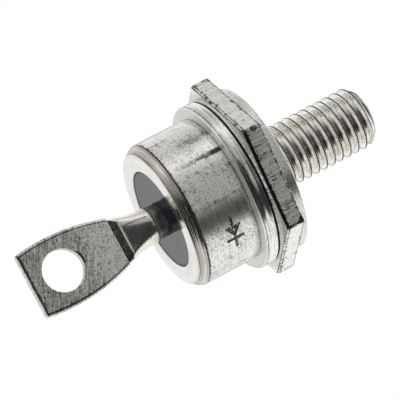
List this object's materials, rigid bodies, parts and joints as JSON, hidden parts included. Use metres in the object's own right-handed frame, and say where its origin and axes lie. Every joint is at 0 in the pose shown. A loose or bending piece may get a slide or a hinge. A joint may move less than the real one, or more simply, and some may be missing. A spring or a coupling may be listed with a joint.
{
  "type": "stud diode",
  "caption": "Stud-mounted power diode: hexagon base with a screw stud, round metal cap closed by a glass seal, and a flattened tube terminal with a hole.",
  "frame": {"origin": "centre of the seating face, on the stud's axis", "axes": "+Z along the axis towards the terminal, so the stud points along -Z; the terminal's width lies along X and its hole runs along Y"},
  "size_m": [0.0196, 0.019, 0.0372],
  "materials": {
    "base_plating": "nickel-plated copper, milled and turned, a little stained in the thread",
    "steel_plating": "nickel-plated steel, satin with fine scuffs",
    "seal_glass": "grey sealing glass, smooth",
    "dark_tube": "oxidised metal",
    "lug_plating": "nickel-plated copper tube, pressed flat, satin",
    "copper": "bare copper",
    "solder": "solder, dull",
    "molybdenum": "molybdenum, satin",
    "silicon": "lapped silicon",
    "coating": "clear silicone, dull"
  },
  "bodies": {
    "root": {"base_stud": "base_plating", "weld_ring": "steel_plating", "cap_shell": "steel_plating", "seal_ring": "steel_plating", "glass_seal": "seal_glass", "lead_tube": "dark_tube", "terminal_lug": "lug_plating", "inner_lead": "copper", "solder_base": "solder", "lower_plate": "molybdenum", "silicon_die": "silicon", "upper_plate": "molybdenum", "solder_lead": "solder", "junction_coating": "coating"}
  },
  "joints": []
}
